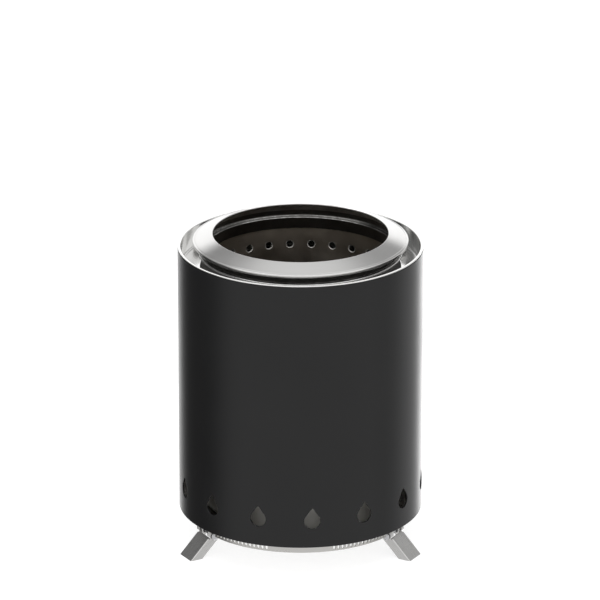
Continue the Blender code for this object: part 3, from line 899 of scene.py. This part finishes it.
def leg_mesh():
    """The leg's outer faces: the web and its two bends as a grid, and a flange with its ear,
    the slit that ends the bend and the pin's hole at each side."""
    bm = new_mesh()
    flat_half = leg_half_width - leg_bend
    bends = [math.radians(degrees) for degrees in levels(0, 90, bend_steps)]
    left = [(web_out - leg_bend * (1 - math.sin(a)), -flat_half - leg_bend * math.cos(a), bend_start_down)
            for a in bends]
    middle = [(web_out, flat_half * share, web_start) for share in (-0.82, -0.4, 0, 0.4, 0.82)]
    right = [(out, -across, start) for out, across, start in reversed(left)]
    grid = []
    for out, across, start in left + middle + right:
        steps = levels(start, out + pin_height / diagonal, leg_lines)
        grid.append([bm.verts.new(leg_point(down, out, across)) for down in steps])
    for a, b in zip(grid, grid[1:]):
        for k in range(leg_lines):
            bm.faces.new([a[k], a[k + 1], b[k + 1], b[k]])
    bend_line = web_out - leg_bend
    ear_top = bracket_top
    meets = 45 + math.degrees(math.acos(-flange_in / ear_round))
    upper = arc(ear_round, meets, ear_arc_end, 10) + [(ear_top_start, ear_top)]
    upper += arc(ear_corner, 90, 0, 5, (ear_reach - ear_corner, ear_top - ear_corner))
    upper += [(ear_reach, ear_outer_low)]
    slit = [(0.0022, 0.0016), (0.0024, 0.0011), (0.0028, 0.0010), (0.0031, bend_line - 0.0002)]
    for side, strip in ((-1, grid[0]), (1, grid[-1])):
        across = side * leg_half_width
        foot = bm.verts.new(leg_point(pin_height / diagonal - flange_in, -flange_in, across))
        rest = [bm.verts.new((x, across, z)) for x, z in upper]
        rest += [bm.verts.new(leg_point(down, out, across)) for down, out in slit]
        hole = [bm.verts.new((x, across, z)) for x, z in circle(pin_hole, 32)]
        plate(bm, [strip + [foot] + rest, hole])
    return bm


def pin_mesh():
    """A plain pin with a flat rounded head at each end, along Z."""
    half = leg_half_width + pin_slack
    end = half + pin_head_length
    outline = [(0, end, 0), (pin_head, end, pin_head_round), (pin_head, half, 0.0001), (pin_round, half, 0)]
    outline += [(radius, -height, corner) for radius, height, corner in reversed(outline)]
    return turned(outline, closed=False, columns=40)


inside_leg = leg_point(0.010, -0.001, 0)
for name, degrees in leg_turns.items():
    place = hinge_place(degrees)
    fit("folding_leg_" + name, leg_mesh(), [brushed], "leg_" + name, "leg_" + name,
        place, sheet=leg_sheet, ease=0.00018, inside=inside_leg)
    across = place @ Matrix.Rotation(math.radians(90), 4, "X")
    fit("hinge_pin_" + name, pin_mesh(), [zinc], "stove_body", "leg_pin_" + name, across)

# ---------------------------------------------------------------------------------------
# The stove stands on a plain pale floor that glows a little, so that it stays even. A soft
# panel overhead lights it, and the surroundings are bright in front, on its right and low
# behind it, and dim on its left. The camera looks down on it from straight in front.

floor_reach = 6
floor_glow = 0.80
panel_size = 2.6
panel_power = 36
panel_place = (0, -0.5, 2.6)
panel_tilt = math.radians(-10)
aim_height = 0.091
view_distance = 2.9247
view_lift = math.radians(20.876)
view_down = 20.101
view_swing = 0.006
lens_length = 329.4
film_width = 36

floor_mesh = bmesh.new()
bmesh.ops.create_grid(floor_mesh, x_segments=1, y_segments=1, size=floor_reach)
floor_data = bpy.data.meshes.new("floor")
floor_mesh.to_mesh(floor_data)
floor_mesh.free()
floor = bpy.data.objects.new("floor", floor_data)
bpy.context.scene.collection.objects.link(floor)
pale, pale_tree, pale_shader, pale_coords = shader("pale_floor", 0.0)
pale_shader.inputs["Roughness"].default_value = 0.9
pale_shader.inputs["Specular IOR Level"].default_value = 0.1
pale_shader.inputs["Emission Color"].default_value = (1, 1, 1, 1)
pale_shader.inputs["Emission Strength"].default_value = floor_glow
tone = mixed(pale_tree, noise(pale_tree, pale_coords, 3, 2), (0.31, 0.31, 0.31), (0.33, 0.33, 0.33))
pale_tree.links.new(tone, pale_shader.inputs["Base Color"])
floor_data.materials.append(pale)
floor.visible_glossy = False

overhead_data = bpy.data.lights.new("overhead_panel", "AREA")
overhead_data.shape = "DISK"
overhead_data.size = panel_size
overhead_data.energy = panel_power
overhead = bpy.data.objects.new("overhead_panel", overhead_data)
overhead.location = panel_place
overhead.rotation_euler = (panel_tilt, 0, 0)
overhead.visible_glossy = False
bpy.context.scene.collection.objects.link(overhead)

room = bpy.data.worlds.new("studio_surroundings")
room.use_nodes = True
bpy.context.scene.world = room
room_tree = room.node_tree
direction = node(room_tree, "TexCoord").outputs["Generated"]
east, north, high = node(room_tree, "SeparateXYZ", [(0, direction)]).outputs
toward = maths(room_tree, "MULTIPLY", north, -1.0)
turn_from_front = maths(room_tree, "ARCTAN2", east, toward)
turn_size = maths(room_tree, "ABSOLUTE", turn_from_front)
lift = maths(room_tree, "ARCSINE", high)


def fade(value, low, high):
    """A mask that goes from nothing to one between two angles in degrees."""
    low, high = math.radians(low), math.radians(high)
    return spread(room_tree, value, low, high, 0.0, 1.0, "SMOOTHSTEP")


def patch(glow, brightness, *edges):
    """Lays a patch of this brightness over the surroundings. Each edge is what is measured,
    and the angle where the patch begins to show and the angle where it is full."""
    mask = fade(*edges[0])
    for edge in edges[1:]:
        mask = maths(room_tree, "MULTIPLY", mask, fade(*edge))
    change = maths(room_tree, "SUBTRACT", brightness, glow)
    return maths(room_tree, "ADD", glow, maths(room_tree, "MULTIPLY", mask, change))


glow = 0.10
# At every height: the front and the right side, a dimmer strip at the right, and the
# right of the back.
glow = patch(glow, 0.88, (turn_from_front, -94, -64))
glow = patch(glow, 0.55, (turn_from_front, 74, 84), (turn_from_front, 112, 102))
glow = patch(glow, 1.20, (turn_from_front, 138, 162))
# Higher up: the left, the right of the back, the front, and all round but the back.
glow = patch(glow, 0.20, (turn_from_front, -95, -115), (lift, 12, 24))
glow = patch(glow, 0.38, (turn_from_front, 95, 120), (lift, 20, 28))
glow = patch(glow, 1.7, (turn_size, 84, 60), (lift, 14, 26))
glow = patch(glow, 1.0, (turn_size, 150, 140), (lift, 34, 44))
# The back: level with the stove and above, then low down on its right and on its left.
behind = (turn_size, 140, 158)
glow = patch(glow, 1.25, behind, (lift, -14, -6))
glow = patch(glow, 4.4, (turn_from_front, 143, 156), (lift, -10, -18))
glow = patch(glow, 2.7, (turn_from_front, -142, -166), (lift, -10, -18))
# The back higher up, darker and then light again, and the ceiling.
glow = patch(glow, 0.28, behind, (lift, 22, 33))
glow = patch(glow, 0.37, (turn_from_front, 140, 150), (turn_from_front, 174, 167), (lift, 16, 27))
glow = patch(glow, 0.68, behind, (lift, 38, 60))
glow = patch(glow, 0.80, (lift, 48, 62))
background = room_tree.nodes["Background"]
room_tree.links.new(glow, background.inputs["Strength"])
background.inputs["Color"].default_value = (1, 1, 1, 1)

aim = Vector((axis_place.x, axis_place.y, aim_height))
camera_data = bpy.data.cameras.new("camera")
camera_data.lens = lens_length
camera_data.sensor_width = film_width
camera_data.clip_start = 0.1
camera = bpy.data.objects.new("camera", camera_data)
camera.location = aim + view_distance * Vector((0, -math.cos(view_lift), math.sin(view_lift)))
camera.rotation_euler = (math.radians(90 - view_down), 0, math.radians(view_swing))
bpy.context.scene.collection.objects.link(camera)
bpy.context.scene.camera = camera
bpy.context.scene.view_settings.view_transform = "Standard"
